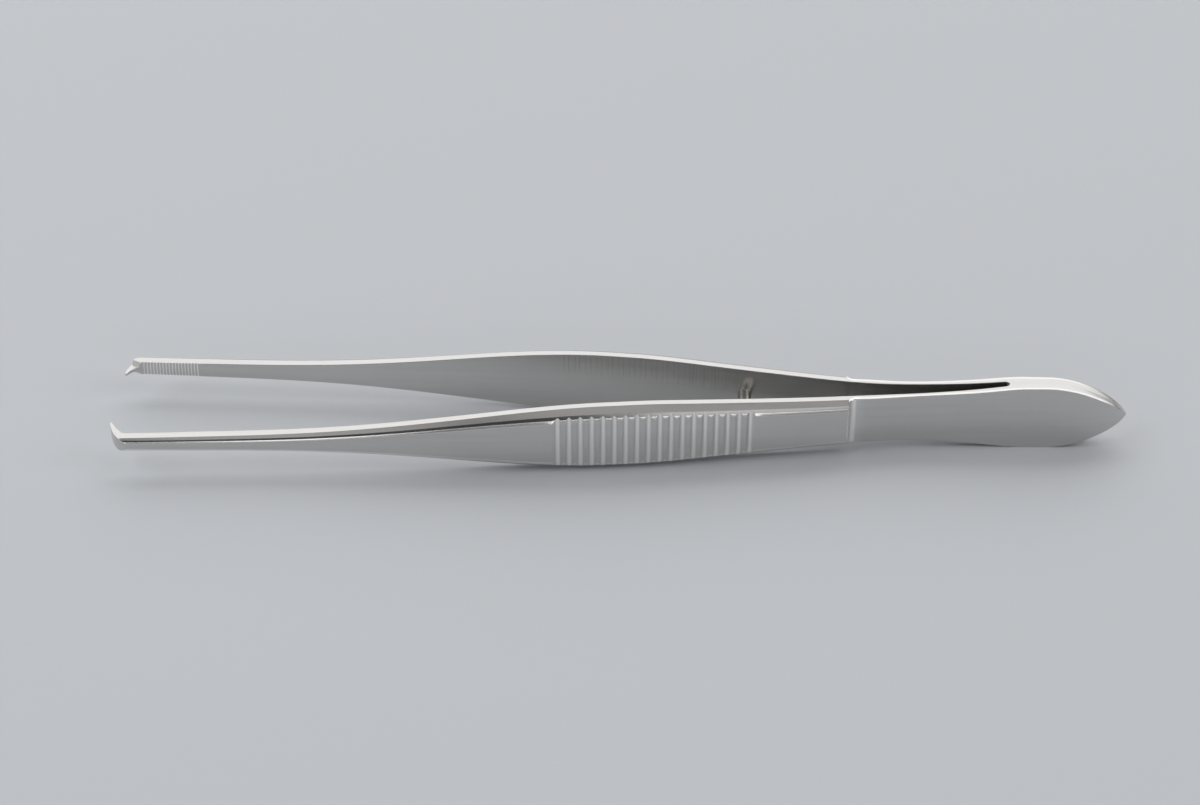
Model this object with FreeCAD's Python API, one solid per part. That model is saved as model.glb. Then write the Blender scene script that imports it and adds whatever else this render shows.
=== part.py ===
import FreeCAD, Part
import math
import os

V = FreeCAD.Vector
UP = V(0, 0, 1)

# Thumb forceps, lying on its narrow edges, in millimetres.
# X runs from the toothed tips to the heel, Y from the front arm to the rear arm, Z up.
# Origin: on the floor, midway along the length, in the plane where the arms meet.
# Stations are distances from the heel's point; the hook and the serrations are placed from
# the tip, so a longer forceps gets longer jaws.

# Overall form
length = 150.0
rest_half_breadth = 5.06        # grip and heel are equally broad, so the forceps lies level
heel_half_thickness = 1.76
heel_nose = 9.0                 # length of the heel's rounded end, seen from above

# Slot and inner faces: three straight runs joined by two gentle bends
slot_end = 17.6
slot_half_width = 0.62
spring_slope = 0.047
grip_slope = 0.1303
jaw_slope = 0.0378
spring_bend = 37.9
spring_bend_half = 4.8
jaw_bend = 82.0
jaw_bend_half = 18.0

# Spring strip: its thickness at stations between the shoulder and the heel
spring_root_thickness = 1.03
spring_stations = ((33.5, 0.92), (26.0, 1.00), (20.0, 1.22))
heel_full = 12.0                # from here the heel keeps its full thickness up to the nose

# Grip and jaw
shoulder = 41.4
cove_radius = 1.25
corner_round = 0.2
shoulder_thickness = 2.45
swell = 75.6
swell_bend_half = 12.9
swell_thickness = 3.35          # where the grip's and the jaw's outer lines would cross
jaw_tip_thickness = 2.08

# Half breadth of the jaw at shares of the way from the grip's broad land to the tip,
# and of grip, spring and heel at distances from the heel's point
jaw_breadths = ((0.795, 1.18), (0.63, 1.44), (0.465, 2.17), (0.26, 3.73), (0.095, 4.84))
grip_land = (77.0, 73.0)
waist_breadths = ((63.0, 4.68), (51.0, 4.10), (38.0, 3.74), (27.0, 4.08), (20.0, 4.66))
heel_land = (15.2, 11.8)
heel_breadths = ((8.7, 4.67), (6.6, 4.08), (4.4, 3.15), (2.2, 1.95))
heel_point_slope = 1.3          # how steeply the side outline falls at the heel's point
jaw_tip_half_breadth = 1.05

# Bevels along the outer long edges of grip and jaw: the flat left on the narrow edge,
# then two facets and an edge round, as shares of the bevel's width and drop
flat_at_tip = 1.46
flat_at_grip = 1.08
drop_base = 0.30
drop_share = 0.20
facet_break = (0.70, 0.48)
edge_break = (0.93, 0.80)

# Cross grooves of the grip
groove_count = 18
groove_pitch = 1.652
groove_depth = 0.42
first_groove = 55.9
crest_drop = 0.03
crest_half_width = 0.36
crest_sagitta = 0.11

# Cross serrations inside the tips
serration_count = 18
serration_pitch = 0.48
serration_depth = 0.12
serration_setback = 10.8        # from the tip to the rearmost serration

# Hooked tips. The points between the straight jaw and the tooth's point are shares: along
# from the point to the hook's start, and out by the jaw's thickness or in by the hook's reach.
hook_length = 3.3
hook_crook_start = 0.8
front_hook_outer = ((0.633, 0.76), (0.367, 0.25), (0.143, -0.378))
front_hook_inner = ((0.637, -0.107), (0.437, -0.389), (0.247, -0.704))
rear_hook_outer = ((0.455, 0.673), (0.258, 0.327), (0.127, -0.065), (0.036, -0.551))
rear_hook_inner = ((0.515, -0.146), (0.333, -0.362), (0.182, -0.714))
hook_lean = 0.25                # outward lean of the tooth's outer edge at its point
hook_inner_lean = 0.65
hook_round = 0.2
front_reach = 2.70
front_setback = 0.3             # the front tip ends this far behind the rear tip
rear_reach = 1.85
notch_depth = 0.6
notch_half_width = 0.4
tooth_length = 2.3
tooth_tip_half = 0.18
tooth_root_half = 0.34
tooth_shoulder = 0.3
hook_root = (0.56, 0.5)         # the cuts run to the hook's point from here, in the same shares

# Guide pin, standing on the rear arm
pin_station = 56.5
pin_diameter = 2.06
pin_reach = 3.6
pin_seat_depth = 1.2
pin_end_chamfer = 0.2

spill = 1.0                     # how far cutting shapes reach past the metal

heel_x = length / 2


def at(distance):
    return heel_x - distance


hook_x = at(length) + hook_length


slot_centre_x = at(slot_end) - slot_half_width
inner_bends = (
    (at(spring_bend), spring_bend_half, grip_slope),
    (at(jaw_bend), jaw_bend_half, jaw_slope),
)


def inner(x):
    """Half gap between the arms at x, and how fast it opens towards the tips."""
    slope = spring_slope
    y = slot_half_width + slope * (slot_centre_x - x)
    for middle, half, new_slope in inner_bends:
        change = new_slope - slope
        into = middle + half - x
        if into > 0:
            inside = min(into, 2 * half)
            y += change * inside * inside / (4 * half) + change * (into - inside)
        slope = new_slope
    return y


def outer_lines():
    """Corner points of the grip's and the jaw's straight outer lines."""
    shoulder_x = at(shoulder)
    swell_x = at(swell)
    return (
        V(shoulder_x, inner(shoulder_x) + shoulder_thickness, 0),
        V(swell_x, inner(swell_x) + swell_thickness, 0),
        V(hook_x, inner(hook_x) + jaw_tip_thickness, 0),
    )


def outer(x):
    """Distance of the grip's or jaw's outer face from the middle plane at x."""
    rear, middle, front = outer_lines()
    grip = (middle.y - rear.y) / (rear.x - middle.x)
    jaw = (front.y - middle.y) / (middle.x - front.x)
    y = rear.y + grip * (rear.x - x)
    into = middle.x + swell_bend_half - x
    if into > 0:
        inside = min(into, 2 * swell_bend_half)
        change = jaw - grip
        y += change * inside * inside / (4 * swell_bend_half) + change * (into - inside)
    return y


def slope_of(curve_height, x):
    step = 0.01
    return (curve_height(x + step) - curve_height(x - step)) / (2 * step)


def line(a, b):
    return Part.makeLine(a, b)


def bend(curve_height, x0, x1):
    """Parabola between x0 and x1 that continues the straight runs on both sides."""
    middle = (x0 + x1) / 2
    y0 = curve_height(x0)
    pole = V(middle, y0 + slope_of(curve_height, x0) * (middle - x0), 0)
    curve = Part.BezierCurve()
    curve.setPoles([V(x0, y0, 0), pole, V(x1, curve_height(x1), 0)])
    return curve.toShape()


def arc(a, b, c):
    return Part.Arc(a, b, c).toShape()


def spline(points, first_tangent=None, last_tangent=None):
    curve = Part.BSplineCurve()
    if first_tangent is None:
        curve.interpolate(points)
    else:
        curve.interpolate(points, InitialTangent=first_tangent, FinalTangent=last_tangent)
    return curve


# Breadth of the arm, seen from the side

def jaw_station(share):
    """Place along the jaw, 0 at the grip's broad land and 1 at the tip."""
    return at(grip_land[0]) + share * (at(length) - at(grip_land[0]))


def breadth_curves():
    """The upper outline as curves from jaw tip to heel point, with the two level lands between."""
    level = V(1, 0, 0)
    tip = V(at(length) - spill, jaw_tip_half_breadth, 0)
    jaw = [tip] + [V(jaw_station(share), h, 0) for share, h in jaw_breadths]
    jaw.append(V(at(grip_land[0]), rest_half_breadth, 0))
    waist = [V(at(grip_land[1]), rest_half_breadth, 0)]
    waist += [V(at(d), h, 0) for d, h in waist_breadths]
    waist.append(V(at(heel_land[0]), rest_half_breadth, 0))
    heel = [V(at(heel_land[1]), rest_half_breadth, 0)]
    heel += [V(at(d), h, 0) for d, h in heel_breadths]
    heel.append(V(heel_x, 0, 0))
    return (
        spline(jaw, level, level),
        spline(waist, level, level),
        spline(heel, level, V(1, -heel_point_slope, 0)),
    )


BREADTH = breadth_curves()


def half_breadth(x):
    """Half breadth at x, read off the side outline between the jaw tip and the heel."""
    jaw, waist, heel = BREADTH
    if at(grip_land[0]) <= x <= at(grip_land[1]):
        return rest_half_breadth
    curve = jaw if x < at(grip_land[0]) else waist
    low, high = curve.FirstParameter, curve.LastParameter
    for _ in range(40):
        middle = (low + high) / 2
        if curve.value(middle).x < x:
            low = middle
        else:
            high = middle
    return curve.value(low).y


def breadth_solid(depth):
    """Everything inside the side outline, from y = 0 to y = depth."""
    jaw, waist, heel = BREADTH
    curves = [jaw.toShape(), waist.toShape(), heel.toShape()]
    ends = [c.Vertexes for c in curves]
    upper = [
        curves[0],
        line(ends[0][-1].Point, ends[1][0].Point),
        curves[1],
        line(ends[1][-1].Point, ends[2][0].Point),
        curves[2],
    ]
    middle = V(0, 0, 0)
    lower = [edge.mirror(middle, V(0, 1, 0)) for edge in upper]
    tip = ends[0][0].Point
    closing = line(tip, V(tip.x, -tip.y, 0))
    wire = Part.Wire(Part.__sortEdges__(upper + lower + [closing]))
    face = Part.Face(wire)
    face.rotate(middle, V(1, 0, 0), 90)
    return face.extrude(V(0, depth, 0))


# Plan of the arm, seen from above, for the side with y above zero

def hook_point(tip_x, reach, shares):
    along, out = shares
    scale = jaw_tip_thickness if out > 0 else reach
    return V(tip_x + along * (hook_x - tip_x), inner(hook_x) + out * scale, 0)


def hook_outline(tip_x, reach, outer_points, inner_points):
    """Outer and inner edge of the hooked tip; the tip point lies reach inside the inner face."""
    tip_y = inner(hook_x) - reach
    outer_start = V(hook_x, outer(hook_x), 0)
    outer_tangent = V(-1, -slope_of(outer, hook_x), 0)
    outer_tip = V(tip_x, tip_y + hook_round, 0)
    points = [outer_start] + [hook_point(tip_x, reach, p) for p in outer_points] + [outer_tip]
    outside = spline(points, outer_tangent, V(-hook_lean, -1, 0))
    crook_x = tip_x + hook_crook_start * (hook_x - tip_x)
    inner_start = V(crook_x, inner(crook_x), 0)
    inner_tangent = V(-1, -slope_of(inner, crook_x), 0)
    inner_tip = V(tip_x + 2 * hook_round, tip_y + hook_round, 0)
    points = [inner_start] + [hook_point(tip_x, reach, p) for p in inner_points] + [inner_tip]
    inside = spline(points, inner_tangent, V(-hook_inner_lean, -1, 0))
    nose = arc(outer_tip, V(tip_x + hook_round, tip_y, 0), inner_tip)
    return outside.toShape(), nose, inside.toShape(), outer_start, inner_start


def shoulder_edges():
    """Outer corner, wall and cove where the thick grip drops to the thin spring strip."""
    x = at(shoulder)
    inset = corner_round * (1 - math.sqrt(0.5))
    top = outer(x)
    fall = slope_of(inner, x + cove_radius)
    tilt = math.atan(-fall)
    foot_x = x + cove_radius * (1 - math.sin(tilt))
    foot = V(foot_x, inner(foot_x) + spring_root_thickness, 0)
    centre = foot + V(math.sin(tilt), math.cos(tilt), 0) * cove_radius
    wall_low = V(x, centre.y, 0)
    half_way = V(-1, -1, 0).normalize() * cove_radius
    face_end = V(x - corner_round, outer(x - corner_round), 0)
    wall_top = V(x, top - corner_round, 0)
    bulge = V(x - inset, top - inset, 0)
    edges = [
        arc(face_end, bulge, wall_top),
        line(wall_top, wall_low),
        arc(wall_low, centre + half_way, foot),
    ]
    return edges, face_end, foot


def spring_edge(foot):
    points = [foot] + [V(at(d), inner(at(d)) + t, 0) for d, t in spring_stations]
    points.append(V(at(heel_full), heel_half_thickness, 0))
    return spline(points, V(1, slope_of(inner, foot.x), 0), V(1, 0, 0)).toShape()


def nose_edge():
    """Quarter of an ellipse that closes the heel, seen from above."""
    centre = V(heel_x - heel_nose, 0, 0)
    major = V(heel_x, 0, 0)
    minor = V(centre.x, heel_half_thickness, 0)
    return Part.Ellipse(major, minor, centre).toShape(0, math.pi / 2)


def plan_face(hook):
    outside, nose, inside, outer_start, inner_start = hook
    swell_x = at(swell)
    bend_low = swell_x - swell_bend_half
    bend_high = swell_x + swell_bend_half
    step_edges, face_end, foot = shoulder_edges()
    heel_start = V(at(heel_full), heel_half_thickness, 0)
    nose_start = V(heel_x - heel_nose, heel_half_thickness, 0)
    slot_point = V(at(slot_end), 0, 0)
    diagonal = slot_half_width * math.sqrt(0.5)
    slot_bulge = V(slot_centre_x + diagonal, diagonal, 0)
    slot_side = V(slot_centre_x, slot_half_width, 0)
    edges = [
        outside,
        line(outer_start, V(bend_low, outer(bend_low), 0)),
        bend(outer, bend_low, bend_high),
        line(V(bend_high, outer(bend_high), 0), face_end),
    ]
    edges += step_edges
    edges += [
        spring_edge(foot),
        line(heel_start, nose_start),
        nose_edge(),
        line(V(heel_x, 0, 0), slot_point),
        arc(slot_point, slot_bulge, slot_side),
    ]
    here = slot_side
    for middle, half, _ in inner_bends:
        bend_end = V(middle + half, inner(middle + half), 0)
        edges.append(line(here, bend_end))
        edges.append(bend(inner, middle - half, middle + half))
        here = V(middle - half, inner(middle - half), 0)
    edges += [line(here, inner_start), inside, nose]
    wire = Part.Wire(Part.__sortEdges__(edges))
    return Part.Face(wire)


# Bevels

def bevel_section(x):
    """Cross-section at x of what the upper bevel takes away."""
    share = (x - at(length)) / (at(swell) - at(length))
    share = min(max(share, 0.0), 1.0)
    flat = flat_at_tip + (flat_at_grip - flat_at_tip) * share
    top = half_breadth(x)
    face_y = outer(x)
    width = face_y - inner(x) - flat
    drop = drop_base + drop_share * top
    start = V(x, face_y - width, top)

    def corner(shares):
        return start + V(0, shares[0] * width, -shares[1] * drop)

    first = corner(facet_break)
    second = corner(edge_break)
    last = corner((1.0, 1.0))
    above = start + (start - first) * spill
    below = last + (last - second) * (spill / (last - second).Length)
    outside = V(x, below.y, above.z)
    return Part.makePolygon([above, first, second, below, outside, above])


def upper_bevel():
    rear_x = at(shoulder) + cove_radius + corner_round
    stations = [jaw_station(share) for share, _ in jaw_breadths] + [at(d) for d in grip_land]
    grip = [at(d) for d, _ in waist_breadths if at(d) < rear_x - spill]
    sections = [bevel_section(x) for x in [at(length) - spill] + stations + grip + [rear_x]]
    return Part.makeLoft(sections, True, False)


# Grooves and serrations

def comb(curve_height, outward, crossings, depth, half_pitch, crest):
    """Plan face of a row of V cuts across a long face.

    outward is +1 for the outer face and -1 for the inner one; crest is (drop, half width,
    sagitta) of the rounded ridge between two cuts.
    """
    drop, crest_half, sagitta = crest

    def point(x, below):
        slope = slope_of(curve_height, x)
        normal = V(-slope, 1, 0).normalize() * outward
        return V(x, curve_height(x), 0) - normal * below

    first_x = crossings[0] - half_pitch
    last_x = crossings[-1] + half_pitch
    edges = []
    here = point(first_x, 0.0)
    edges.append(line(point(first_x, -spill), here))
    for number, x in enumerate(crossings):
        valley = point(x, depth)
        edges.append(line(here, valley))
        if number + 1 == len(crossings):
            break
        top_x = (x + crossings[number + 1]) / 2
        rise = point(top_x - crest_half, drop + sagitta)
        top = point(top_x, drop)
        here = point(top_x + crest_half, drop + sagitta)
        edges.append(line(valley, rise))
        edges.append(arc(rise, top, here))
    end = point(last_x, 0.0)
    edges.append(line(valley, end))
    edges.append(line(end, point(last_x, -spill)))
    edges.append(line(point(last_x, -spill), point(first_x, -spill)))
    return Part.Face(Part.Wire(edges))


def tall(face):
    """Plan face extruded through the whole breadth."""
    height = rest_half_breadth + spill
    face.translate(V(0, 0, -height))
    return face.extrude(V(0, 0, 2 * height))


def grip_grooves():
    rear_x = at(first_groove)
    crossings = [rear_x - groove_pitch * (groove_count - 1 - n) for n in range(groove_count)]
    crest = (crest_drop, crest_half_width, crest_sagitta)
    return tall(comb(outer, 1, crossings, groove_depth, groove_pitch / 2, crest))


def tip_serrations():
    rear_x = at(length) + serration_setback
    row = range(serration_count)
    crossings = [rear_x - serration_pitch * (serration_count - 1 - n) for n in row]
    ratio = serration_pitch / groove_pitch
    crest = (crest_drop * ratio, crest_half_width * ratio, crest_sagitta * ratio)
    return tall(comb(inner, -1, crossings, serration_depth, serration_pitch / 2, crest))


# Teeth

def tip_cutter(tip_x, reach, outline):
    """Prism across the hook, drawn as (distance beyond the tip, height) points."""
    tip = V(tip_x + hook_round, inner(hook_x) - reach, 0)
    root = hook_point(tip_x, reach, hook_root)
    along = (tip - root).normalize()
    across = V(-along.y, along.x, 0) * jaw_tip_thickness
    points = [tip + along * s + UP * z - across for s, z in outline]
    face = Part.Face(Part.makePolygon(points + [points[0]]))
    return face.extrude(across * 2)


def front_notch(tip_x):
    widen = notch_half_width * (1 + spill / notch_depth)
    outline = [(-notch_depth, 0.0), (spill, widen), (spill, -widen)]
    return tip_cutter(tip_x, front_reach, outline)


def rear_flanks(tip_x):
    """The two cuts that leave a single tooth in the middle of the rear tip."""
    taper = (tooth_root_half - tooth_tip_half) / tooth_length
    high = jaw_tip_half_breadth + spill
    end = tooth_tip_half - taper * spill
    rise = (high - tooth_root_half) / (jaw_tip_half_breadth - tooth_root_half)
    back = tooth_length + tooth_shoulder * rise
    outline = [(spill, end), (-tooth_length, tooth_root_half), (-back, high), (spill, high)]
    lower = [(s, -z) for s, z in outline]
    return [tip_cutter(tip_x, rear_reach, points) for points in (outline, lower)]


# Arms and pin

def arm(hook, tip_cuts):
    """One arm on the side with y above zero, its middle plane at z = 0."""
    depth = outer(hook_x) + spill
    blank = tall(plan_face(hook)).common(breadth_solid(depth))
    bevel = upper_bevel()
    cuts = [bevel, bevel.mirror(V(0, 0, 0), UP), grip_grooves(), tip_serrations()]
    return blank.cut(cuts + tip_cuts)


def pin_seat():
    """Bottom of the pin's seat in the rear arm, and the pin's whole length."""
    seat_y = inner(at(pin_station)) + pin_seat_depth
    return V(at(pin_station), seat_y, 0), pin_seat_depth + pin_reach


def guide_pin():
    seat, pin_length = pin_seat()
    pin = Part.makeCylinder(pin_diameter / 2, pin_length, seat, V(0, -1, 0))
    end = [e for e in pin.Edges if abs(e.CenterOfMass.y - seat.y + pin_length) < pin_end_chamfer]
    return pin.makeChamfer(pin_end_chamfer, end)


def front_arm():
    tip_x = at(length) + front_setback
    hook = hook_outline(tip_x, front_reach, front_hook_outer, front_hook_inner)
    shape = arm(hook, [front_notch(tip_x)])
    return shape.mirror(V(0, 0, 0), V(0, 1, 0))


def rear_arm():
    tip_x = at(length)
    hook = hook_outline(tip_x, rear_reach, rear_hook_outer, rear_hook_inner)
    shape = arm(hook, rear_flanks(tip_x))
    seat, pin_length = pin_seat()
    hole = Part.makeCylinder(pin_diameter / 2, pin_length, seat, V(0, -1, 0))
    return shape.cut(hole)


os.makedirs("parts", exist_ok=True)
nodes = {"front_arm": front_arm(), "rear_arm": rear_arm(), "guide_pin": guide_pin()}
for name, shape in nodes.items():
    shape = shape.copy()
    shape.translate(UP * rest_half_breadth)
    shape.exportStep("parts/" + name + ".step")
    box = shape.BoundBox
    print(name, len(shape.Solids), "solids, valid", shape.isValid(), "volume", round(shape.Volume, 2))
    print("  x %.3f..%.3f  y %.3f..%.3f  z %.3f..%.3f" % (
        box.XMin, box.XMax, box.YMin, box.YMax, box.ZMin, box.ZMax))
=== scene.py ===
# %% [markdown]
# # Thumb forceps in brushed steel
#
# This lesson dresses a packed model of thumb forceps for a picture. The model is loaded first,
# as a fixed frame: every piece made below sits where the frame has it, in metres, X from the
# toothed tips to the heel, Y from the front arm to the rear arm, Z up.

# %% Load the frame
import math
import bmesh
import bpy
import numpy as np
from mathutils import Matrix, Vector


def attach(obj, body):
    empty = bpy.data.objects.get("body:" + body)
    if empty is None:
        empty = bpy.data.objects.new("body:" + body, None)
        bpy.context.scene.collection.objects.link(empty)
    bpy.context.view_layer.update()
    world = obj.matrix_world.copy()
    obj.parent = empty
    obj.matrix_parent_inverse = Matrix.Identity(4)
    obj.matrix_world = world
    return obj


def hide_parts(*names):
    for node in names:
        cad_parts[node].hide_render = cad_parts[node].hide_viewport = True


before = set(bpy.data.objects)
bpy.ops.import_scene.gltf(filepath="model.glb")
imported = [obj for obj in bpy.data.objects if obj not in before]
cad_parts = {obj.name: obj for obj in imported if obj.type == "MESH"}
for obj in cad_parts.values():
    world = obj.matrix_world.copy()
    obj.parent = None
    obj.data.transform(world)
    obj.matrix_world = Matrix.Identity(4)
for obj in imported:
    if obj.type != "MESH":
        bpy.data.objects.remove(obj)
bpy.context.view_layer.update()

# %% [markdown]
# ## The drawing
#
# An arm of these forceps is a slim bar whose faces are a few smooth curves: the inner face, the
# outer face and the outline seen from the side. They could be copied from the frame's mesh, but
# curves worked out again from the drawing's own sizes are smooth at any closeness. All sizes
# are in millimetres here, and stations are distances from the heel's point.

# %% Sizes of the drawing
MM = 0.001
length = 150.0
heel_x = length / 2
rest_half = 5.06                # half breadth of grip and heel, on which the forceps lies
heel_half_thickness = 1.76
heel_nose = 9.0
slot_end = 17.6
slot_half = 0.62
spring_slope, grip_slope, jaw_slope = 0.047, 0.1303, 0.0378
spring_bend, spring_bend_half = 37.9, 4.8
jaw_bend, jaw_bend_half = 82.0, 18.0
spring_root = 1.03
spring_stations = ((33.5, 0.92), (26.0, 1.00), (20.0, 1.22))
heel_full = 12.0
shoulder = 41.4
cove_radius = 1.25
corner_round = 0.2
shoulder_thickness = 2.45
swell, swell_bend_half, swell_thickness = 75.6, 12.9, 3.35
jaw_tip_thickness = 2.08
jaw_breadths = ((0.795, 1.18), (0.63, 1.44), (0.465, 2.17), (0.26, 3.73), (0.095, 4.84))
grip_land = (77.0, 73.0)
waist_breadths = ((63.0, 4.68), (51.0, 4.10), (38.0, 3.74), (27.0, 4.08), (20.0, 4.66))
heel_land = (15.2, 11.8)
heel_breadths = ((8.7, 4.67), (6.6, 4.08), (4.4, 3.15), (2.2, 1.95))
heel_point_slope = 1.3          # how steeply the side outline falls at the heel's point
tip_half = 1.05
past_tip = 1.0                  # the jaw's side outline is worked out from this far past the tip
hook_length = 3.3


def at(distance):
    """X of a station, given by its distance from the heel's point."""
    return heel_x - np.asarray(distance, float)


tip_x = at(length)
hook_x = tip_x + hook_length
print("tips at x =", float(tip_x), "mm, shoulder at", float(at(shoulder)), "mm")

# %% [markdown]
# ## Two kinds of curve
#
# The arm's long faces are straight runs joined by even bends, like a bent strip, so their height
# is a slope that changes at a steady rate inside each bend. The outlines that were ground by
# hand are smoother than that: a cubic curve through a few stations, level where it meets the
# broad lands. A spline object in Blender would need its points read back for every section, so
# both are plain functions of an array.

# %% Bent strips and smooth cubics
def bent(x, start, height, slopes, bends):
    """Height at x of a line that leaves start towards the tips.

    The slope is the first of slopes; over each bend (middle, half length) it changes evenly to
    the next: the height gains change * (inside squared / 4 half + the way beyond the bend).
    """
    y = height + slopes[0] * (start - x)
    for (middle, half), before, after in zip(bends, slopes[:-1], slopes[1:]):
        inside = np.clip(middle + half - x, 0, 2 * half)
        beyond = np.maximum(middle - half - x, 0)
        y = y + (after - before) * (inside ** 2 / (4 * half) + beyond)
    return y


def cubic(xs, ys, first=0.0, last=0.0):
    """Cubic curve through the points, of even curvature, with the given slopes at its ends.

    The slopes in between solve one linear system; each span is then a Hermite cubic.
    """
    xs, ys = np.asarray(xs, float), np.asarray(ys, float)
    step, rise = np.diff(xs), np.diff(ys) / np.diff(xs)
    system, target = np.eye(len(xs)), np.zeros(len(xs))
    target[0], target[-1] = first, last
    row = np.arange(1, len(xs) - 1)
    system[row, row - 1] = step[1:]
    system[row, row] = 2 * (step[1:] + step[:-1])
    system[row, row + 1] = step[:-1]
    target[row] = 3 * (step[1:] * rise[:-1] + step[:-1] * rise[1:])
    slope = np.linalg.solve(system, target)

    def curve(x):
        k = np.clip(np.searchsorted(xs, x) - 1, 0, len(xs) - 2)
        t = (x - xs[k]) / step[k]
        keep, go = (1 + 2 * t) * (1 - t) ** 2, t * t * (3 - 2 * t)
        lean = step[k] * (t * (1 - t) ** 2 * slope[k] - t * t * (1 - t) * slope[k + 1])
        return keep * ys[k] + go * ys[k + 1] + lean

    return curve


arch = cubic([0, 1, 2], [0, 1, 0])
print("a level-ended arch of height 1 is %.2f high at a quarter of its span" % arch(0.5))

# %% [markdown]
# ## The arm's faces
#
# Three functions of x describe the arm: how far its inner face stands from the middle plane,
# how far its outer face does, and how broad it is. The rounded end of the slot is a half circle,
# the heel's end a quarter of an ellipse seen from above. From the side the heel is a leaf: its two
# long edges fall straight to a real point, so the last cubic ends on a slope and not level.

# %% Inner face, outer face and breadth
slot_centre_x = at(slot_end) - slot_half
inner_bends = ((at(spring_bend), spring_bend_half), (at(jaw_bend), jaw_bend_half))


def inner(x):
    """Half gap: the strip's bends up to the slot, then the half circle that ends it."""
    open_slot = bent(x, slot_centre_x, slot_half, (spring_slope, grip_slope, jaw_slope), inner_bends)
    into = np.clip((x - slot_centre_x) / slot_half, 0, 1)
    return np.where(x > slot_centre_x, slot_half * np.sqrt(1 - into ** 2), open_slot)


shoulder_x, swell_x = at(shoulder), at(swell)
shoulder_y = inner(shoulder_x) + shoulder_thickness
swell_y = inner(swell_x) + swell_thickness
jaw_y = inner(hook_x) + jaw_tip_thickness
outer_slopes = (
    (swell_y - shoulder_y) / (shoulder_x - swell_x),
    (jaw_y - swell_y) / (swell_x - hook_x),
)


def outer(x):
    """Distance of the grip's and jaw's outer face: two straight runs and one bend."""
    return bent(x, shoulder_x, shoulder_y, outer_slopes, ((swell_x, swell_bend_half),))


foot_x = shoulder_x + cove_radius
spring_curve = cubic(
    [foot_x, *(at(d) for d, _ in spring_stations), at(heel_full)],
    [inner(foot_x) + spring_root, *(inner(at(d)) + t for d, t in spring_stations), heel_half_thickness],
    first=-spring_slope,
)


def spring_outer(x):
    """Distance of the spring's and heel's outer face: a cubic, a level run, then the ellipse."""
    nose = np.clip((x - (heel_x - heel_nose)) / heel_nose, 0, 1)
    heel = heel_half_thickness * np.sqrt(1 - nose ** 2)
    return np.where(x < at(heel_full), spring_curve(np.minimum(x, at(heel_full))), heel)


jaw_stations = [at(grip_land[0]) + s * (tip_x - at(grip_land[0])) for s, _ in jaw_breadths]
jaw_breadth = cubic(
    [tip_x - past_tip, *jaw_stations, at(grip_land[0])],
    [tip_half, *(h for _, h in jaw_breadths), rest_half],
)
waist_breadth = cubic(
    [at(grip_land[1]), *(at(d) for d, _ in waist_breadths), at(heel_land[0])],
    [rest_half, *(h for _, h in waist_breadths), rest_half],
)
heel_breadth = cubic(
    [at(heel_land[1]), *(at(d) for d, _ in heel_breadths), heel_x],
    [rest_half, *(h for _, h in heel_breadths), 0.0],
    last=-heel_point_slope,
)


def half_breadth(x):
    """Half breadth: jaw, level land of the grip, waist, level land of the heel, heel's leaf."""
    x = np.asarray(x, float)
    jaw = jaw_breadth(np.clip(x, tip_x - past_tip, at(grip_land[0])))
    waist = waist_breadth(np.clip(x, at(grip_land[1]), at(heel_land[0])))
    heel = heel_breadth(np.clip(x, at(heel_land[1]), heel_x))
    places = [x < at(grip_land[0]), x < at(grip_land[1]), x < at(heel_land[0]), x < at(heel_land[1])]
    return np.select(places, [jaw, rest_half, waist, rest_half], heel)


for station in (140, 110, 75, 45, 25, 8):
    x = at(station)
    outer_face = outer if station > shoulder else spring_outer
    measured = (station, inner(x), outer_face(x), half_breadth(x))
    print("station %d: inner face %.2f, outer face %.2f, half breadth %.2f" % measured)

# %% [markdown]
# ## Grooves and serrations
#
# The grip has 18 cross grooves for the fingers, with rounded ridges between them, and the
# inside of each tip has a row of fine serrations. A bump map would leave the outline smooth,
# but the grooves show as a scalloped edge, so they are real: a depth at each x, read off a
# line through valleys and ridge tops, and a row of sections that falls on every corner of it.

# %% Comb of cuts across a face
groove_count, groove_pitch, groove_depth, first_groove = 18, 1.652, 0.42, 55.9
serration_count, serration_pitch, serration_depth, serration_setback = 18, 0.48, 0.12, 10.8
crest_drop, crest_half, crest_sagitta = 0.03, 0.36, 0.11
valley_half = 0.03
ridge = np.linspace(-1, 1, 7)   # places across a ridge's rounded top
bar = np.array([0.18, 0.40])    # how far from a valley the painted highlight on its floor starts and ends to fade


def comb(rear_x, count, pitch, depth):
    """Corners of a row of V cuts: their x, their depth, and the painted highlight along each cut's
    floor.

    Ridge tops are rounded as a parabola. Rows on the flanks make the skin follow the V closely and hold
    the painted highlight on the floor of every cut to the same width.
    """
    scale = pitch / groove_pitch
    valleys = rear_x - pitch * np.arange(count)[::-1]
    tops = (valleys[1:] + valleys[:-1]) / 2
    floor_x = (valleys[:, None] + scale * valley_half * np.array([-1, 1])).ravel()
    top_x = (tops[:, None] + scale * crest_half * ridge).ravel()
    top_depth = np.tile(scale * (crest_drop + crest_sagitta * ridge ** 2), len(tops))
    ends = np.array([valleys[0] - pitch / 2, valleys[-1] + pitch / 2])
    x = np.concatenate([ends, floor_x, top_x])
    cut = np.concatenate([np.zeros(2), np.full(len(floor_x), depth), top_depth])
    order = np.argsort(x)
    bar_x = (valleys[:, None] + scale * np.r_[-bar, bar]).ravel()
    rows = np.sort(np.r_[x, bar_x])
    from_valley = np.abs(rows[:, None] - valleys).min(axis=1) / scale
    return rows, np.interp(rows, x[order], cut[order]), np.interp(from_valley, bar, [1, 0])


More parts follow.
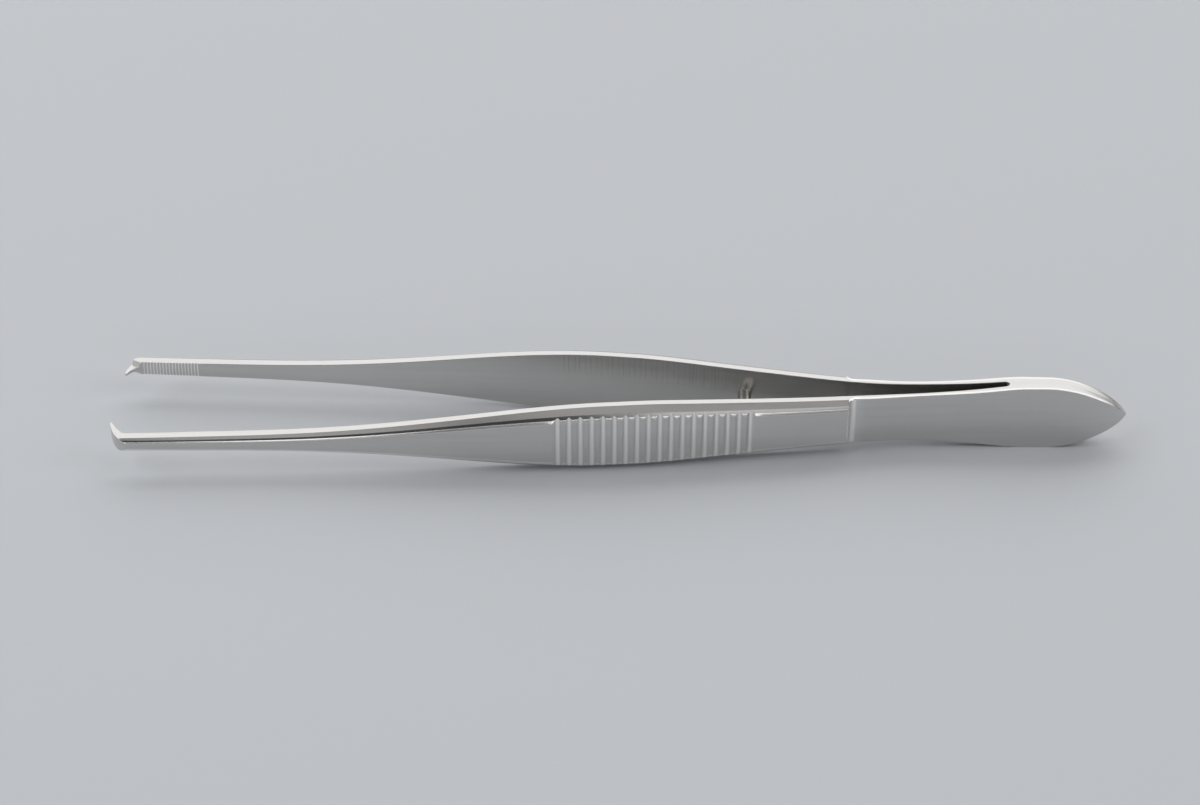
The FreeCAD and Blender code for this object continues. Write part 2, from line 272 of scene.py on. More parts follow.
groove_x, groove_cut, groove_highlight = comb(
    at(first_groove), groove_count, groove_pitch, groove_depth
)
serration_x, serration_cut, serration_highlight = comb(
    tip_x + serration_setback, serration_count, serration_pitch, serration_depth
)
print("grooves from %.1f to %.1f mm" % (groove_x[0], groove_x[-1]))
print("serrations from %.1f to %.1f mm" % (serration_x[0], serration_x[-1]))

# %% [markdown]
# ## Seen from above: the two rails
#
# The arm is drawn as sections that each stand on two rails, one along the inner face and one
# along the outer face. Along the jaws both rails share their x. At the shoulder the outer rail
# turns down a wall and round a cove while the inner one goes on. At the tips both turn inwards
# to the tooth and meet on its round. Sections that could only stand across X would tear there.

# %% Rails of the hooked tip
front_setback = 0.3             # the front tooth's point stands this far behind the rear one's
# Points of the hook's edges are shares: along from the tooth's point to the hook's start, and
# out by the jaw's thickness or in by the hook's reach.
hooks = {
    "front": {
        "reach": 2.70, "tip_x": tip_x + front_setback,
        "outer": ((0.143, -0.378), (0.367, 0.25), (0.633, 0.76)),
        "inner": ((0.247, -0.704), (0.437, -0.389), (0.637, -0.107)),
    },
    "rear": {
        "reach": 1.85, "tip_x": tip_x,
        "outer": ((0.036, -0.551), (0.127, -0.065), (0.258, 0.327), (0.455, 0.673)),
        "inner": ((0.182, -0.714), (0.333, -0.362), (0.515, -0.146)),
    },
}
hook_crook_start = 0.8
hook_lean, hook_inner_lean = 0.25, 0.65
hook_round = 0.2
hook_root = (0.56, 0.5)
tooth_length, tooth_shoulder = 2.3, 0.3
rail_places = np.linspace(0, 1, 400)
nose_turn = np.radians(np.linspace(90, 15, 6))[:, None]
first_square = 0.25             # way from the tooth's point to the first section square across it
tooth_rows, root_rows, fan_rows = 16, 6, 14


def slope_of(face, x):
    """Slope of a face by a small step each way."""
    step = 0.01
    return (face(x + step) - face(x - step)) / (2 * step)


def bow(points, start, end, places):
    """Points at places 0..1 along a smooth curve through the points, by chord length."""
    points = np.array(points, float)
    chord = np.r_[0, np.cumsum(np.linalg.norm(np.diff(points, axis=0), axis=1))]
    start, end = np.array(start, float), np.array(end, float)
    start, end = start / np.linalg.norm(start), end / np.linalg.norm(end)
    along = places * chord[-1]
    axes = [cubic(chord, points[:, k], start[k], end[k])(along) for k in (0, 1)]
    return np.stack(axes, axis=1)


def hook_point(hook, shares):
    """Place of a point that is given by its two shares."""
    along, out = shares
    scale = jaw_tip_thickness if out > 0 else hook["reach"]
    return np.array([hook["tip_x"] + along * (hook_x - hook["tip_x"]), inner(hook_x) + out * scale])


def hook_way(hook, points):
    """Distance of points from the tooth's point, along the line from it to the hook's root."""
    point = np.array([hook["tip_x"] + hook_round, inner(hook_x) - hook["reach"]])
    along = hook_point(hook, hook_root) - point
    return (points - point) @ (along / np.linalg.norm(along))


def hook_edges(hook):
    """Inner and outer edge of the hook, as close points from the tooth's round to the jaw."""
    point_x, tip_y = hook["tip_x"], inner(hook_x) - hook["reach"]
    outer_tip = (point_x, tip_y + hook_round)
    outer_end = (hook_x, outer(hook_x))
    outer_points = [outer_tip, *(hook_point(hook, p) for p in hook["outer"]), outer_end]
    outside = bow(outer_points, (hook_lean, 1), (1, slope_of(outer, hook_x)), rail_places)
    crook_x = point_x + hook_crook_start * (hook_x - point_x)
    inner_end = (crook_x, inner(crook_x))
    inner_tip = (point_x + 2 * hook_round, tip_y + hook_round)
    inner_points = [inner_tip, *(hook_point(hook, p) for p in hook["inner"]), inner_end]
    inside = bow(inner_points, (hook_inner_lean, 1), (1, slope_of(inner, crook_x)), rail_places)
    return inside, outside


def hook_rails(hook):
    """Inner and outer rail from the tooth's round to the straight jaw.

    Where the tooth is, both rails are read at the same distance from its point, so sections
    stand square across it; from its root on they fan out to meet the jaw's upright ones.
    """
    inside, outside = hook_edges(hook)
    middle = np.array([hook["tip_x"] + hook_round, inner(hook_x) - hook["reach"] + hook_round])
    swing = np.hstack([np.cos(nose_turn), np.sin(nose_turn)]) * hook_round
    root = tooth_length + tooth_shoulder
    tooth = np.linspace(first_square, tooth_length, tooth_rows)
    square = np.r_[tooth, np.linspace(tooth_length, root, root_rows)[1:]]
    result = []
    for rail, nose in ((inside, middle + swing * (1, -1)), (outside, middle + swing * (-1, -1))):
        way = hook_way(hook, rail)
        read_at = np.r_[square, np.linspace(root, way[-1], fan_rows)[1:]]
        rest = np.stack([np.interp(read_at, way, rail[:, k]) for k in (0, 1)], axis=1)
        result.append(np.vstack([nose, rest]))
    return result


for name, hook in hooks.items():
    print(name, "hook has", len(hook_rails(hook)[0]), "sections, reach", hook["reach"], "mm")

# %% [markdown]
# ## The rails of jaw, grip, shoulder, spring and heel
#
# Behind the hook the rails follow the arm's two faces. Sections are needed only where something
# bends or turns bright: on each corner of a cut and each edge of its bright floor, closely
# round the shoulder's corner, the cove, the slot's end and the heel's point, and about one for
# every millimetre between. An even spacing fine enough for the cuts would take far more points.

# %% Rails of jaw, grip, shoulder, spring and heel
plain_step = 1.0
step_in = 4.0                   # length over which the inner rail falls into step
crook_clearance = 0.02          # a serration's corner closer to the crook than this is left out
slot_lip = 0.12                 # beyond the slot its eased edge runs out over this length
corner_rows, cove_rows, slot_rows, nose_rows = 5, 12, 9, 40


def between(low, high, step=plain_step):
    """Even stations from low to high, both left out."""
    return np.linspace(low, high, max(int((high - low) / step), 1) + 1)[1:-1]


def offset(face, x, cut, side):
    """Points of a face, moved into the metal by cut along the face's normal."""
    slope = slope_of(face, x)
    norm = np.sqrt(1 + slope ** 2)
    return np.stack([x + side * slope * cut / norm, face(x) - side * cut / norm], axis=1)


def straight_rails(crook_x):
    """Inner and outer rail from the jaw to the shoulder's upper corner.

    The inner rail leaves the hook sooner than the outer one; it falls back into step with it
    over the first millimetres.
    """
    x = np.concatenate([
        serration_x[serration_x > crook_x + crook_clearance],
        between(serration_x[-1], groove_x[0]),
        groove_x,
        between(groove_x[-1], shoulder_x - corner_round),
    ])
    lead = (hook_x - crook_x) * np.clip((crook_x + step_in - x) / step_in, 0, 1)
    inside = offset(inner, x, np.interp(x, serration_x, serration_cut), -1)
    outside = offset(outer, x + lead, np.interp(x, groove_x, groove_cut), 1)
    return inside, outside


def shoulder_rails():
    """The shoulder's corner round, its wall and the cove that runs out into the spring.

    Corner and cove are arcs: their middle plus radius * (cosine, sine) of even angles.
    """
    tilt = math.atan(spring_slope)
    foot_y = inner(foot_x) + spring_root
    centre_y = foot_y + cove_radius
    corner = np.radians(np.linspace(90, 0, corner_rows))
    corner_x = shoulder_x - corner_round * (1 - np.cos(corner))
    corner_y = outer(shoulder_x) - corner_round * (1 - np.sin(corner))
    cove = np.radians(np.linspace(180, 270 - math.degrees(tilt), cove_rows))
    cove_x = foot_x + cove_radius * np.cos(cove)
    cove_y = centre_y + cove_radius * np.sin(cove)
    x = np.concatenate([corner_x, cove_x])
    y = np.concatenate([corner_y, cove_y])
    return np.stack([x, inner(x)], axis=1), np.stack([x, y], axis=1)


def heel_rails():
    """Spring strip, slot end and heel; stations on both rounds are sines of even angles.

    They lie closest together where the faces turn most.
    """
    quarter = np.sin(np.linspace(0, np.pi / 2, slot_rows))
    slot_round = np.r_[slot_centre_x + slot_half * quarter, at(slot_end) + slot_lip]
    nose_x = heel_x - heel_nose
    nose_round = nose_x + heel_nose * np.sin(np.linspace(0, np.pi / 2, nose_rows))
    x = np.concatenate([
        between(foot_x, slot_centre_x),
        slot_round,
        between(slot_round[-1], nose_x),
        nose_round,
    ])
    return np.stack([x, inner(x)], axis=1), np.stack([x, spring_outer(x)], axis=1)


def rails(hook):
    """Both rails of one arm, from the tooth to the heel's point."""
    tip = hook_rails(hook)
    parts = [tip, straight_rails(tip[0][-1, 0]), shoulder_rails(), heel_rails()]
    return [np.vstack([part[k] for part in parts]) for k in (0, 1)]


inside, outside = rails(hooks["rear"])
print(len(inside), "sections on rails from x = %.2f to %.2f mm" % (inside[0, 0], inside[-1, 0]))

# %% [markdown]
# ## Across: the section
#
# Each section has a narrow flat on top, then two ground facets and a steep edge facet down to
# the outer face. Grooves, shoulder and spring are thinner than the full bar, so the section is
# cut off at its own width: every corner slides back along the same profile. Real edges are
# never sharp, and it is their tiny rounds that catch the light, so each corner becomes a short
# curve. A bevel modifier would choke on the serrations, whose edges are shorter than the round.
# At the grip the facets drop 1.54 mm, about 0.2 mm more than in the frame: the edge facet of
# the real one, seen close, is the taller one.

# %% One half section, for all stations at once
flat_at_tip, flat_at_grip = 1.46, 1.08
drop_base, drop_share = 0.35, 0.235
facet_places = np.array([0.0, 0.68, 0.90, 1.0])
facet_drops = np.array([0.0, 0.41, 0.685, 1.0])
corner_reach = np.array([0.10, 0.04, 0.03, 0.025, 0.03])
plain_reach = 0.10              # round of the spring's and the heel's outer edge
cove_reach = 0.24               # and of the edge above the cove, which is ground softer
seam_reach = 0.004              # round of the heel's inner edges, where the arms are welded
# Each corner stays this far before the outer face: in millimetres, or as a share of the width
# of a section thinner than one millimetre.
corner_spread = np.array([0.0, 0.16, 0.09, 0.04, 0.0])
plain_spread = np.array([0.0, 0.74, 0.64, 0.52, 0.0])
round_places = np.linspace(0, 1, 5)
side_share = 0.48               # of a side, the most that the round at one of its ends may take
wall_clearance = 0.01           # sections this far past the shoulder's wall are plain
least_width, least_side = 1e-6, 1e-9


def eased(corners, reach, before, after):
    """Each corner as a parabola that starts and ends reach before and after it.

    With t from 0 to 1 it is (1 - t) squared * start + 2 t (1 - t) * corner + t squared * end.
    """
    chain = np.concatenate([before[:, None], corners, after[:, None]], axis=1)
    side = np.linalg.norm(np.diff(chain, axis=1), axis=2)
    reach = np.minimum(reach, side_share * np.minimum(side[:, :-1], side[:, 1:]))[..., None]
    unit = np.diff(chain, axis=1) / np.maximum(side, least_side)[..., None]
    start, end = corners - unit[:, :-1] * reach, corners + unit[:, 1:] * reach
    t = round_places[:, None]
    start, end, middle = start[:, :, None], end[:, :, None], corners[:, :, None]
    curve = (1 - t) ** 2 * start + 2 * t * (1 - t) * middle + t * t * end
    return curve.reshape(len(corners), -1, 2)


def half_sections(inside, outside, height, gap):
    """Upper half of every section as (way across, height) points, from inner to outer face.

    A corner's height is the side outline less the drop times the share that the facets have
    fallen at its place in the full bar; a thinner section is the same profile, cut off sooner.
    """
    x = outside[:, 0]
    width = np.linalg.norm(outside - inside, axis=1)
    share = np.clip((x - tip_x) / (swell_x - tip_x), 0, 1)
    flat = flat_at_tip + (flat_at_grip - flat_at_tip) * share
    beyond = x > shoulder_x + wall_clearance
    bevel = outer(x) - inner(x) - flat
    drop = drop_base + drop_share * half_breadth(x)
    start = inside[:, 1] - inner(inside[:, 0])
    rise = np.maximum(outside[:, 1] - inner(x) - start, least_width)
    offsets = np.hstack([np.zeros((len(x), 1)), flat[:, None] + facet_places * bevel[:, None]])
    across = (offsets - start[:, None]) / rise[:, None] * width[:, None]
    across = np.where(beyond[:, None], 2 * heel_half_thickness, across)
    spread = np.where(beyond[:, None], plain_spread, corner_spread)
    spread = np.minimum(spread, width[:, None] * spread)
    across = np.minimum(across, width[:, None] - spread)
    across[:, 0] = 0
    offsets = start[:, None] + across / np.maximum(width, least_width)[:, None] * rise[:, None]
    into = np.clip((offsets - flat[:, None]) / bevel[:, None], 0, 1) * ~beyond[:, None]
    up = height[:, None] - drop[:, None] * np.interp(into, facet_places, facet_drops)
    corners = np.stack([across, np.maximum(up, gap[:, None])], axis=2)
    reach = np.tile(corner_reach, (len(x), 1))
    eased_places = [shoulder_x, foot_x, foot_x + cove_radius]
    round_off = np.interp(x, eased_places, [cove_reach, cove_reach, plain_reach])
    reach[:, -1] = np.where(beyond, round_off, reach[:, -1])
    reach[x > at(slot_end) + slot_lip / 2, 0] = seam_reach
    low_in = np.stack([np.zeros(len(x)), gap], axis=1)
    low_out = np.stack([width, gap], axis=1)
    curve = eased(corners, reach, low_in, low_out)
    return np.concatenate([low_in[:, None], curve, low_out[:, None]], axis=1)


round_count = len(round_places)
section_points = len(corner_reach) * round_count + 2
print("half a section has", section_points, "points, for", len(corner_reach), "corners")

# %% [markdown]
# ## Painted highlights on the steel
#
# Satin steel is dull where the belt passed. Its colour is painted lighter where the real steel catches
# highlights: in the grooves and serrations, in the cove, and on the long edges. A finish could look for
# edges by itself, but it would miss the floors of the cuts. The skin's points know what they belong to,
# so each carries a number for how much highlight is painted on it, and the finish reads that number.

# %% Where highlights are painted on the steel
# Painted highlight on the edge facet: this much lighter up to the cove's foot, and on the spring's and
# heel's rim beyond it.
edge_highlight, rim_highlight = 0.65, 0.35
# A section's columns are one on the inner face, a round for each corner, one on the outer face.
# The edge facet runs from the middle of its upper corner's round to near the end of its lower.
corners_above_edge = 3
edge_start = 1 + corners_above_edge * round_count + round_count // 2
edge_columns = slice(edge_start, section_points - 2)
inner_columns, outer_columns = slice(0, 3), slice(-2, None)
highlight_fade = 0.1               # length over which a painted highlight fades out


def brightness(inside, outside, section):
    """For each point of the grid 0 on satin faces, and up to 1 where a highlight is painted.

    Painted highlights lie on the floors of the cuts, the cove below the shoulder, the steep edge facet
    and the heel's rim. Each fades in straight lines beside them.
    """
    painted_highlight = np.zeros(section.shape[:2])
    serrated = np.interp(inside[:, 0], serration_x, serration_highlight)
    grooved = np.interp(outside[:, 0], groove_x, groove_highlight)
    corner_x = shoulder_x - corner_round
    cove_places = [corner_x, corner_x + highlight_fade, foot_x - 3 * highlight_fade, foot_x]
    cove = np.interp(outside[:, 0], cove_places, [0, 1, 1, 0])
    painted_highlight[:, edge_columns] = np.where(outside[:, 0] < foot_x, edge_highlight, rim_highlight)[:, None]
    painted_highlight[:, inner_columns] = serrated[:, None]
    painted_highlight[:, outer_columns] = np.maximum(grooved, cove)[:, None]
    return painted_highlight.ravel()


print("the edge facet is columns", edge_columns.start, "to", edge_columns.stop - 1)

# %% [markdown]
# ## Skin over the sections
#
# The upper half of an arm is a grid: sections one way, points across the other. Its lower half
# is the same grid mirrored. The front tip ends in two prongs with a notch between them, where
# the halves part: there each half gets its own wall, and elsewhere they meet in the middle and
# their doubled points are merged. The rear tip keeps one slim tooth, so its half height shrinks.

# %% Grid to mesh
merge_distance, shortest_edge = 0.0004, 0.0002
crease = math.radians(36)       # edges that turn by more than this stay sharp


def half_shell(inside, outside, height, gap):
    """Points of the upper half, their painted highlight, quads, and walls where the halves part.

    In plan a point is its section's place on the inner rail plus the way across towards the
    outer rail; its height is the section's.
    """
    section = half_sections(inside, outside, height, gap)
    width = np.maximum(np.linalg.norm(outside - inside, axis=1), least_side)
    across = (outside - inside) / width[:, None]
    plan = inside[:, None] + across[:, None] * section[..., :1]
    points = np.concatenate([plan, section[..., 1:]], axis=2)
    rows, columns = points.shape[:2]
    index = np.arange(rows * columns).reshape(rows, columns)
    quads = np.stack([index[:-1, :-1], index[1:, :-1], index[1:, 1:], index[:-1, 1:]], axis=-1)
    parted = np.flatnonzero((gap[:-1] > 0) | (gap[1:] > 0))
    this, following = index[parted], index[parted + 1]
    walls = np.stack([this[:, 0], this[:, -1], following[:, -1], following[:, 0]], axis=-1)
    faces = np.vstack([quads.reshape(-1, 4), walls])
    return points.reshape(-1, 3), brightness(inside, outside, section), faces


def closed_mesh(name, points, faces, painted_highlight):
    """Mesh in metres with doubled points merged, empty faces gone and normals outwards."""
    mesh = bpy.data.meshes.new(name)
    mesh.from_pydata((points * MM).tolist(), [], faces.tolist())
    mesh.attributes.new("painted_highlight", "FLOAT", "POINT").data.foreach_set("value", painted_highlight)
    work = bmesh.new()
    work.from_mesh(mesh)
    bmesh.ops.remove_doubles(work, verts=work.verts, dist=merge_distance * MM)
    bmesh.ops.dissolve_degenerate(work, edges=work.edges, dist=shortest_edge * MM)
    bmesh.ops.recalc_face_normals(work, faces=work.faces)
    open_edges = sum(not e.is_manifold for e in work.edges)
    work.to_mesh(mesh)
    work.free()
    mesh.shade_smooth()
    mesh.set_sharp_from_angle(angle=crease)
    print(name, len(mesh.vertices), "points,", len(mesh.polygons), "faces,", open_edges, "open edges")
    return mesh


def placed(name, mesh, node):
    """Object at the origin that rides on the one body and stands for the frame's node."""
    piece = bpy.data.objects.new(name, mesh)
    bpy.context.scene.collection.objects.link(piece)
    smooth = piece.modifiers.new("even_shading", "WEIGHTED_NORMAL")
    smooth.keep_sharp = True
    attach(piece, "root")
    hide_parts(node)
    return piece


print("points closer than", merge_distance, "mm are merged")

# %% [markdown]
# ## The two arms
#
# Both arms share every curve but the tip. On the way to its point the rear tip narrows to a
# finger, and the front tip parts into two prongs that take the finger between them. How far a
# section is from the point is measured along the hook, from its root to its point.

# %% Tips and arms
notch_depth, notch_half = 0.6, 0.4
tooth_tip_half, tooth_root_half = 0.18, 0.34


def make_arm(name, side, hook, finger):
    """One arm; side is +1 for the rear and -1 for the front, finger is true for the one tooth.

    With the distance from the tooth's point, a finger's half height grows in two straight
    lines, and a notch's falls from notch_half to nothing in one.
    """
    inside, outside = rails(hook)
    away = hook_way(hook, (inside + outside) / 2)
    height = half_breadth(outside[:, 0])
    gap = np.zeros(len(height))
    if finger:
        ways = [0, tooth_length, tooth_length + tooth_shoulder]
        tooth = np.interp(away, ways, [tooth_tip_half, tooth_root_half, tip_half])
        height = np.where(away < ways[-1], tooth, height)
    else:
        gap = notch_half * np.clip(1 - away / notch_depth, 0, 1)
    points, painted_highlight, faces = half_shell(inside, outside, height, gap)
    faces = np.vstack([faces, faces[:, ::-1] + len(points)])
    points = np.vstack([points, points * (1, 1, -1)])
    points = points * (1, side, 1) + (0, 0, rest_half)
    mesh = closed_mesh(name, points, faces, np.tile(painted_highlight, 2))
    return placed(name, mesh, name.replace("_steel", ""))


rear_arm = make_arm("rear_arm_steel", 1, hooks["rear"], True)
front_arm = make_arm("front_arm_steel", -1, hooks["front"], False)

# %% [markdown]
# ## The guide pin
#
# A short round pin stands on the rear arm's inner face and keeps the arms in line. It is turned
# on a lathe, so it is made the same way: a profile carried round its axis. The profile has the
# small round of a polished end, which a plain cylinder lacks.

# %% Pin
pin_station, pin_radius, pin_reach, pin_seat, pin_round = 56.5, 1.03, 3.6, 1.2, 0.2
pin_steps, side_rows, round_rows = 64, 6, 8
side_start, side_end = 0.3, 0.1  # the side's rows keep this far from the pin's foot and its round


def lathe(profile, turns):
    """Surface of a profile (radius, way along the axis) carried round the axis, as a grid.

    A point of the ring is radius * (cosine, sine) of its angle.
    """
    angle = np.linspace(0, 2 * np.pi, turns, endpoint=False)
    ring = np.stack([np.cos(angle), np.sin(angle)], axis=1)
    way = np.broadcast_to(profile[:, None, 1:], (len(profile), turns, 1))
    return profile[:, None, :1] * ring, way


seat_y = inner(at(pin_station)) + pin_seat
quarter = np.radians(np.linspace(0, 90, round_rows))
side_way = np.linspace(side_start, pin_seat + pin_reach - pin_round - side_end, side_rows)
round_radius = pin_radius - pin_round * (1 - np.cos(quarter))
round_way = pin_seat + pin_reach - pin_round * (1 - np.sin(quarter))
profile = np.vstack([
    [(0.0, 0.0), (pin_radius, 0.0)],
    np.stack([np.full(side_rows, pin_radius), side_way], axis=1),
    np.stack([round_radius, round_way], axis=1),
    [(0.0, pin_seat + pin_reach)],
])
ring, way = lathe(profile, pin_steps)
pin_x, pin_z = ring[..., :1] + at(pin_station), ring[..., 1:] + rest_half
points = np.concatenate([pin_x, seat_y - way, pin_z], axis=2)
rows = np.arange(len(profile) * pin_steps).reshape(len(profile), pin_steps)
around = np.roll(rows, -1, axis=1)
faces = np.stack([rows[:-1], rows[1:], around[1:], around[:-1]], axis=-1).reshape(-1, 4)
points = points.reshape(-1, 3)
pin_mesh = closed_mesh("guide_pin_steel", points, faces, np.zeros(len(points)))
guide_pin = placed("guide_pin_steel", pin_mesh, "guide_pin")

# %% [markdown]
# ## Shader sums written as Python
#
# A finish is a sum of small patterns. Wiring dozens of Math nodes by hand hides the formula, so
# one small class stands for the output of a node: adding or multiplying two of them adds the
# Math node, and one method makes any other node.

# %% Wires
class Wire:
    """An output socket that can be used in sums."""

    def __init__(self, tree, socket):
        self.tree = tree
        self.socket = socket

    def make(self, kind, settings, output=0, **sockets):
        """A new node of a kind: its settings first, then the values or wires of its sockets.

        A socket goes by its name with _ for spaces, or by the letter s and its number.
        """
        node = self.tree.nodes.new(kind)
        for key, value in settings.items():
            setattr(node, key, value)
        for key, value in sockets.items():
            place = int(key[1:]) if key[1:].isdigit() else key.replace("_", " ")
            target = node.inputs[place]
            if isinstance(value, Wire):
                self.tree.links.new(value.socket, target)
            else:
                target.default_value = value
        return Wire(self.tree, node.outputs[output])

    def sum(self, operation, a, b):
        """One Math node on two wires or numbers."""
        return self.make("ShaderNodeMath", {"operation": operation}, s0=a, s1=b)

    def __add__(self, other):
        return self.sum("ADD", self, other)

    def __radd__(self, other):
        return self.sum("ADD", other, self)

    def __sub__(self, other):
        return self.sum("SUBTRACT", self, other)

    def __rsub__(self, other):
        return self.sum("SUBTRACT", other, self)

    def __mul__(self, other):
        return self.sum("MULTIPLY", self, other)

    def __rmul__(self, other):
        return self.sum("MULTIPLY", other, self)


operators = [name for name in vars(Wire) if name.endswith(("add__", "sub__", "mul__"))]
print("a wire can stand in", operators)

# %% [markdown]
# ## Brushed steel
#
# The forceps is satin stainless steel: belt-ground along its length, so its faces carry fine lengthwise
# lines, with a faint cloudiness from hand polishing, and smoother edges whose tone carries a painted
# highlight. An image could show that, but it would stretch over the slim bar. Noise that is squeezed
# across the bar and stretched along it makes lines at any distance.

# %% Steel finish
satin, highlight_gain = 0.25, 0.75      # a satin face's place between dark and light, what the painted highlight adds
shade_shares = (0.80, 1.60)     # darkest and lightest tone, as shares of the tint
line_tone, cloud_tone = 0.24, 0.06
line_rough, cloud_rough, highlight_smooth = 0.12, 0.06, 0.05
lying_from, lying_to = 0.4, 0.6  # how far a face points up where its grain changes over
line_detail, cloud_detail, noise_roughness = 4.0, 3.0, 0.6
cloud_scale = (140.0,) * 3
scratch_strength, scratch_depth = 0.03, 0.00002


def noise(start, place, scale, detail):
    """Noise, about 0 in the mean, on a place that is stretched by scale."""
    stretched = start.make("ShaderNodeMapping", {}, Vector=place, Scale=scale)
    field = start.make(
        "ShaderNodeTexNoise", {},
        Vector=stretched, Scale=1.0, Detail=detail, Roughness=noise_roughness,
    )
    return field - 0.5


def brushed_steel(name, tint, roughness, slot_name, side_grain, top_grain):
    """Metal whose tone, roughness and bump follow noise that is stretched along the belt's way.

    Faces that stand up take side_grain and faces that lie take top_grain: one grain for both
    would run askew over a sloping face and look like worms.
    """
    material = bpy.data.materials.new(name)
    material.use_nodes = True
    tree = material.node_tree
    shader = tree.nodes["Principled BSDF"]
    start = Wire(tree, None)
    place = start.make("ShaderNodeTexCoord", {}, output="Object")
    facing = start.make("ShaderNodeNewGeometry", {}, output="Normal")
    size = start.make("ShaderNodeVectorMath", {"operation": "ABSOLUTE"}, s0=facing)
    upward = start.make("ShaderNodeSeparateXYZ", {}, output="Z", Vector=size)
    lying = start.make(
        "ShaderNodeMapRange", {"clamp": True},
        Value=upward, From_Min=lying_from, From_Max=lying_to,
    )
    side_lines = noise(start, place, side_grain, line_detail)
    top_lines = noise(start, place, top_grain, line_detail)
    lines = side_lines + (top_lines - side_lines) * lying
    cloud = noise(start, place, cloud_scale, cloud_detail)
    # Painted highlight: this attribute lightens the tone on the cuts, the cove and the edges, and makes
    # them a little smoother.
    painted_highlight = start.make("ShaderNodeAttribute", {"attribute_name": "painted_highlight"}, output="Fac")
    tone = lines * line_tone + cloud * cloud_tone + painted_highlight * highlight_gain + satin
    dark, light = ((*(share * c for c in tint), 1.0) for share in shade_shares)
    colour = start.make("ShaderNodeMix", {"data_type": "RGBA"}, output=2, s0=tone, s6=dark, s7=light)
    rough = lines * line_rough + cloud * cloud_rough - painted_highlight * highlight_smooth + roughness
    bump = start.make(
        "ShaderNodeBump", {}, Strength=scratch_strength, Distance=scratch_depth, Height=lines
    )
    tree.links.new(colour.socket, shader.inputs["Base Color"])
    tree.links.new(rough.socket, shader.inputs["Roughness"])
    tree.links.new(bump.socket, shader.inputs["Normal"])
    shader.inputs["Metallic"].default_value = 1.0
    material["slot"] = slot_name
    return material


arm_tint, arm_roughness = (0.61, 0.60, 0.585), 0.24
pin_tint, pin_roughness = (0.74, 0.72, 0.69), 0.20
side_grain, top_grain = (40.0, 0.0, 1300.0), (40.0, 1300.0, 0.0)
turned = (300.0, 3600.0, 300.0)  # a lathe's lines run round the pin, so they change along it
arm_finish = brushed_steel("arm_satin", arm_tint, arm_roughness, "arm_steel", side_grain, top_grain)
pin_finish = brushed_steel("pin_satin", pin_tint, pin_roughness, "pin_steel", turned, turned)
for piece, finish in ((rear_arm, arm_finish), (front_arm, arm_finish), (guide_pin, pin_finish)):
    piece.data.materials.append(finish)
    print(piece.name, "wears", finish.name, "made of", len(finish.node_tree.nodes), "nodes")

# %% [markdown]
# ## The floor
#
# The forceps lies on a plain pale sheet with a slight sheen. One flat square is enough: it is
# far larger than the picture, so no edge of it shows, and the steel mirrors it as an even grey.

# %% Floor
floor_size = 6.0
sheet_colour, sheet_roughness = (0.60, 0.62, 0.65, 1.0), 0.55
floor_mesh = bpy.data.meshes.new("floor_sheet")
half = floor_size / 2
floor_corners = [(-half, -half, 0), (half, -half, 0), (half, half, 0), (-half, half, 0)]
floor_mesh.from_pydata(floor_corners, [], [(0, 1, 2, 3)])
floor = bpy.data.objects.new("floor_sheet", floor_mesh)
bpy.context.scene.collection.objects.link(floor)
floor_finish = bpy.data.materials.new("pale_sheet")
floor_finish.use_nodes = True
sheet = floor_finish.node_tree.nodes["Principled BSDF"]
sheet.inputs["Base Color"].default_value = sheet_colour
sheet.inputs["Roughness"].default_value = sheet_roughness
floor_mesh.materials.append(floor_finish)
print("floor of", floor_size, "m each way")

# %% [markdown]
# ## The light
#
# Steel shows what it mirrors, so a studio lights it with large soft panels rather than small
# lamps: two behind for the narrow flats, one overhead for the bevels, two to the right, one to
# the left for the floor, and low cards in front and to the left for the edges. One bright even
# sky would be simpler, but every face of the steel would have the same tone.

# %% Lamps
room_radius = 1.6               # metres from the middle of the floor to every panel
room_colour = (0.035, 0.035, 0.037, 1.0)


def panel(name, azimuth, elevation, size, brightness):
    """A soft panel facing the forceps from afar; azimuth 0 is behind it and 90 to its right.

    Its width stays level. A surface that mirrors it shows its brightness, which takes
    pi * area * brightness watts.
    """
    lamp = bpy.data.lights.new(name, "AREA")
    lamp.shape = "RECTANGLE"
    lamp.size, lamp.size_y = size
    lamp.energy = math.pi * size[0] * size[1] * brightness
    turn, rise = math.radians(azimuth), math.radians(elevation)
    light = bpy.data.objects.new(name, lamp)
    light.location = room_radius * Vector(
        (math.sin(turn) * math.cos(rise), math.cos(turn) * math.cos(rise), math.sin(rise))
    )
    light.rotation_euler = (rise - math.pi / 2, 0, -turn)
    bpy.context.scene.collection.objects.link(light)


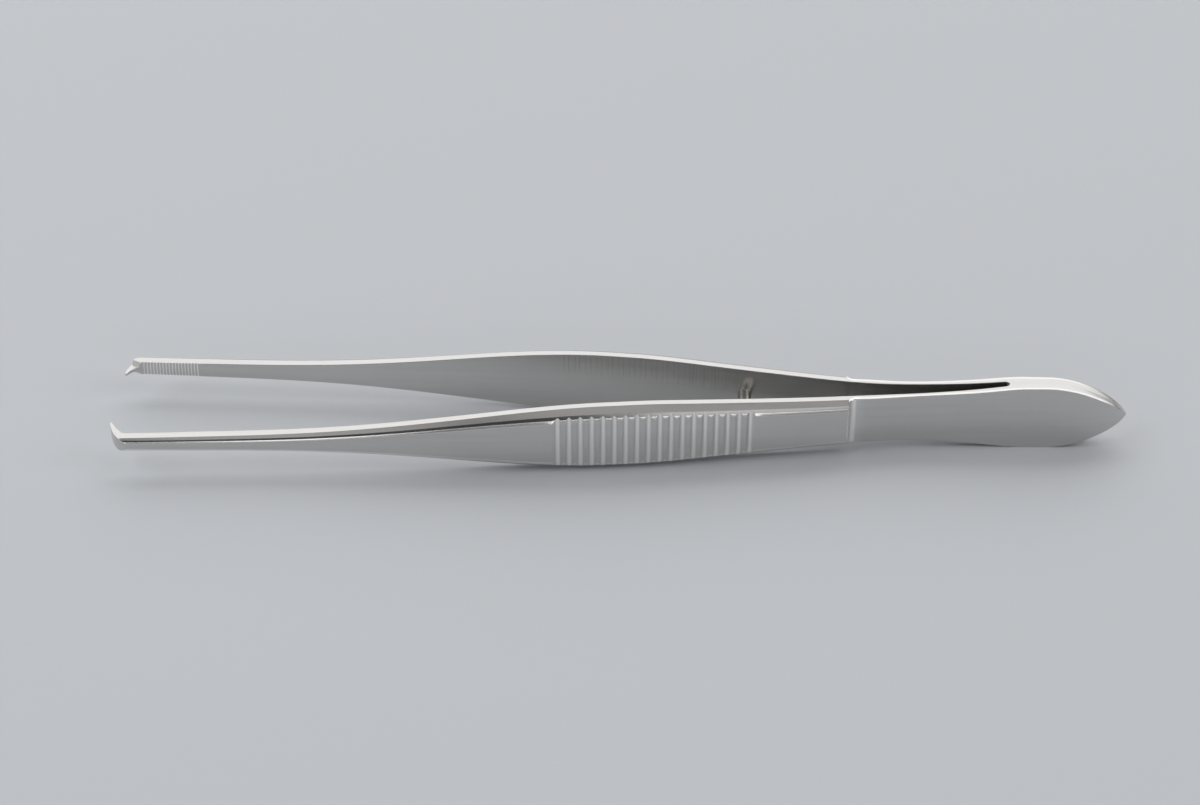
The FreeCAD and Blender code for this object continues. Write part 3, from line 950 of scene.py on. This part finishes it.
# name, azimuth and elevation in degrees, width and height in metres, brightness
panel("back_panel", 0, 32, (3.8, 1.25), 1.25)
panel("high_panel", 0, 60, (2.4, 0.4), 1.7)
panel("top_panel", 20, 86, (1.9, 0.7), 0.42)
panel("right_panel", 138, 55, (0.9, 0.6), 0.8)
panel("side_panel", 108, 32, (1.0, 0.7), 2.2)
panel("left_panel", 262, 42, (1.6, 1.0), 1.9)
panel("front_card", 180, 18, (3.4, 0.40), 1.35)
panel("left_card", 250, 8, (1.4, 0.4), 0.7)

world = bpy.data.worlds.new("dim_room")
world.use_nodes = True
room = world.node_tree.nodes["Background"]
room.inputs["Color"].default_value = room_colour
bpy.context.scene.world = world
print(len(bpy.data.lights), "panels, %.0f watts in all" % sum(lamp.energy for lamp in bpy.data.lights))

# %% [markdown]
# ## The camera
#
# The picture is taken from the front, 32 degrees above the table and with a long lens, so the
# arms hardly taper with distance. A camera could be aimed by a constraint, but a place and two
# directions say exactly how it stands: the way it looks, and the way that is level in it.

# %% Camera
camera_place = Vector((2.61, -352.04, 229.42)) * MM
look = Vector((-0.013455, 0.844200, -0.535860)).normalized()
level = Vector((0.99987, 0.01593, 0.0)).normalized()
camera_roll = 0.00162           # radians round the way it looks
focal_length, sensor_width = 84.29, 36.0  # millimetres
nearest, farthest = 0.01, 20.0  # metres
above = level.cross(look)
right = level * math.cos(camera_roll) + above * math.sin(camera_roll)
above = above * math.cos(camera_roll) - level * math.sin(camera_roll)
lens = bpy.data.cameras.new("view")
lens.lens = focal_length
lens.sensor_width = sensor_width
lens.clip_start, lens.clip_end = nearest, farthest
camera = bpy.data.objects.new("view", lens)
camera_turn = Matrix((right, above, -look)).transposed().to_4x4()
camera.matrix_world = Matrix.Translation(camera_place) @ camera_turn
bpy.context.scene.collection.objects.link(camera)
bpy.context.scene.camera = camera
bpy.context.scene.view_settings.view_transform = "Standard"
print("camera looks down by %.1f degrees" % math.degrees(math.asin(-look.z)))

# %% [markdown]
# ## The end
#
# The last line brings the scene's placements up to date.

# %% Update the scene
bpy.context.view_layer.update()
